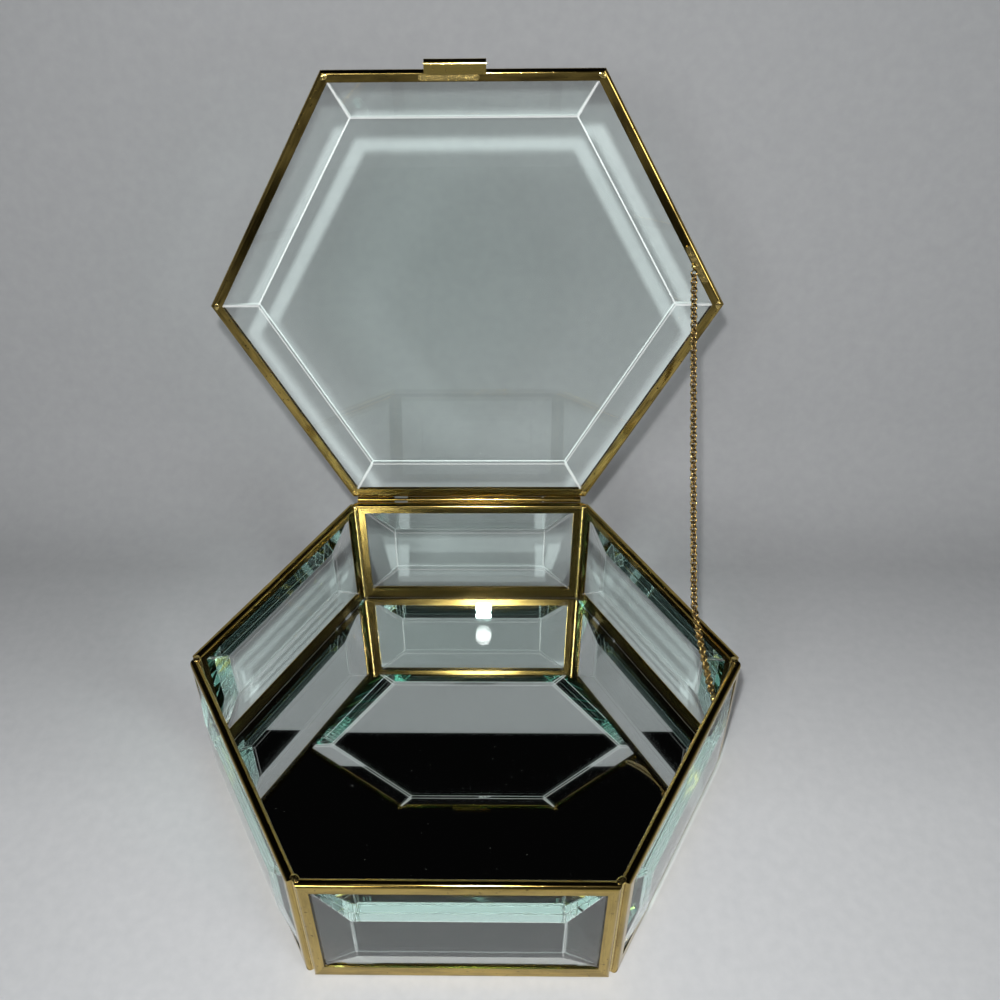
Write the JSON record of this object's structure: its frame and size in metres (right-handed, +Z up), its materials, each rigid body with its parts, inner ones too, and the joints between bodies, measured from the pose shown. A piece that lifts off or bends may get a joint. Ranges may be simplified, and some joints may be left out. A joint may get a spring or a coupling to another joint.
{
  "type": "glass casket box",
  "caption": "Hexagonal keepsake box of bevelled glass in brass channel, with a mirror floor, a hinged glass lid and a guard chain.",
  "frame": {"origin": "middle of the underside, level with the foot of the walls", "axes": "+Z up, +X to the right and +Y to the back, seen from the side opposite the hinge"},
  "size_m": [0.1486, 0.1577, 0.1723],
  "materials": {
    "brass": "polished, lightly tarnished",
    "solder": "bright, brass-coloured solder",
    "chain_brass": "worn polished",
    "clear_glass": "clear with polished bevels",
    "mirror": "mirror",
    "backing": "matt paint"
  },
  "bodies": {
    "base": {"front_glass": "clear_glass", "front_rim": "brass", "front_sill": "brass", "front_post_left": "brass", "front_post_right": "brass", "right_front_glass": "clear_glass", "right_front_rim": "brass", "right_front_sill": "brass", "right_front_post_left": "brass", "right_front_post_right": "brass", "right_back_glass": "clear_glass", "right_back_rim": "brass", "right_back_sill": "brass", "right_back_post_left": "brass", "right_back_post_right": "brass", "back_glass": "clear_glass", "back_rim": "brass", "back_sill": "brass", "back_post_left": "brass", "back_post_right": "brass", "left_back_glass": "clear_glass", "left_back_rim": "brass", "left_back_sill": "brass", "left_back_post_left": "brass", "left_back_post_right": "brass", "left_front_glass": "clear_glass", "left_front_rim": "brass", "left_front_sill": "brass", "left_front_post_left": "brass", "left_front_post_right": "brass", "front_seam": "solder", "right_front_seam": "solder", "right_back_seam": "solder", "back_seam": "solder", "left_back_seam": "solder", "left_front_seam": "solder", "mirror_floor": "mirror", "mirror_backing": "backing", "rim_knuckle": "brass", "hinge_pin": "brass", "rim_hinge_solder": "solder", "guard_chain": "chain_brass", "rim_chain_solder": "solder"},
    "lid": {"lid_rail_front": "brass", "lid_rail_right_front": "brass", "lid_rail_right_back": "brass", "lid_rail_back": "brass", "lid_rail_left_back": "brass", "lid_rail_left_front": "brass", "lid_glass": "clear_glass", "lid_knuckle_left": "brass", "lid_knuckle_right": "brass", "lid_hinge_solder_left": "solder", "lid_hinge_solder_right": "solder", "thumb_tab": "brass", "thumb_tab_solder": "solder", "thumb_tab_pad": "solder", "lid_chain_solder": "solder"}
  },
  "joints": [
    {"name": "lid_hinge", "type": "hinge", "parent": "base", "child": "lid", "pos_m": [0, 0.06546, 0.04275], "axis": [1, 0, 0], "range_deg": [0, 100], "deforming": ["guard_chain"]}
  ]
}
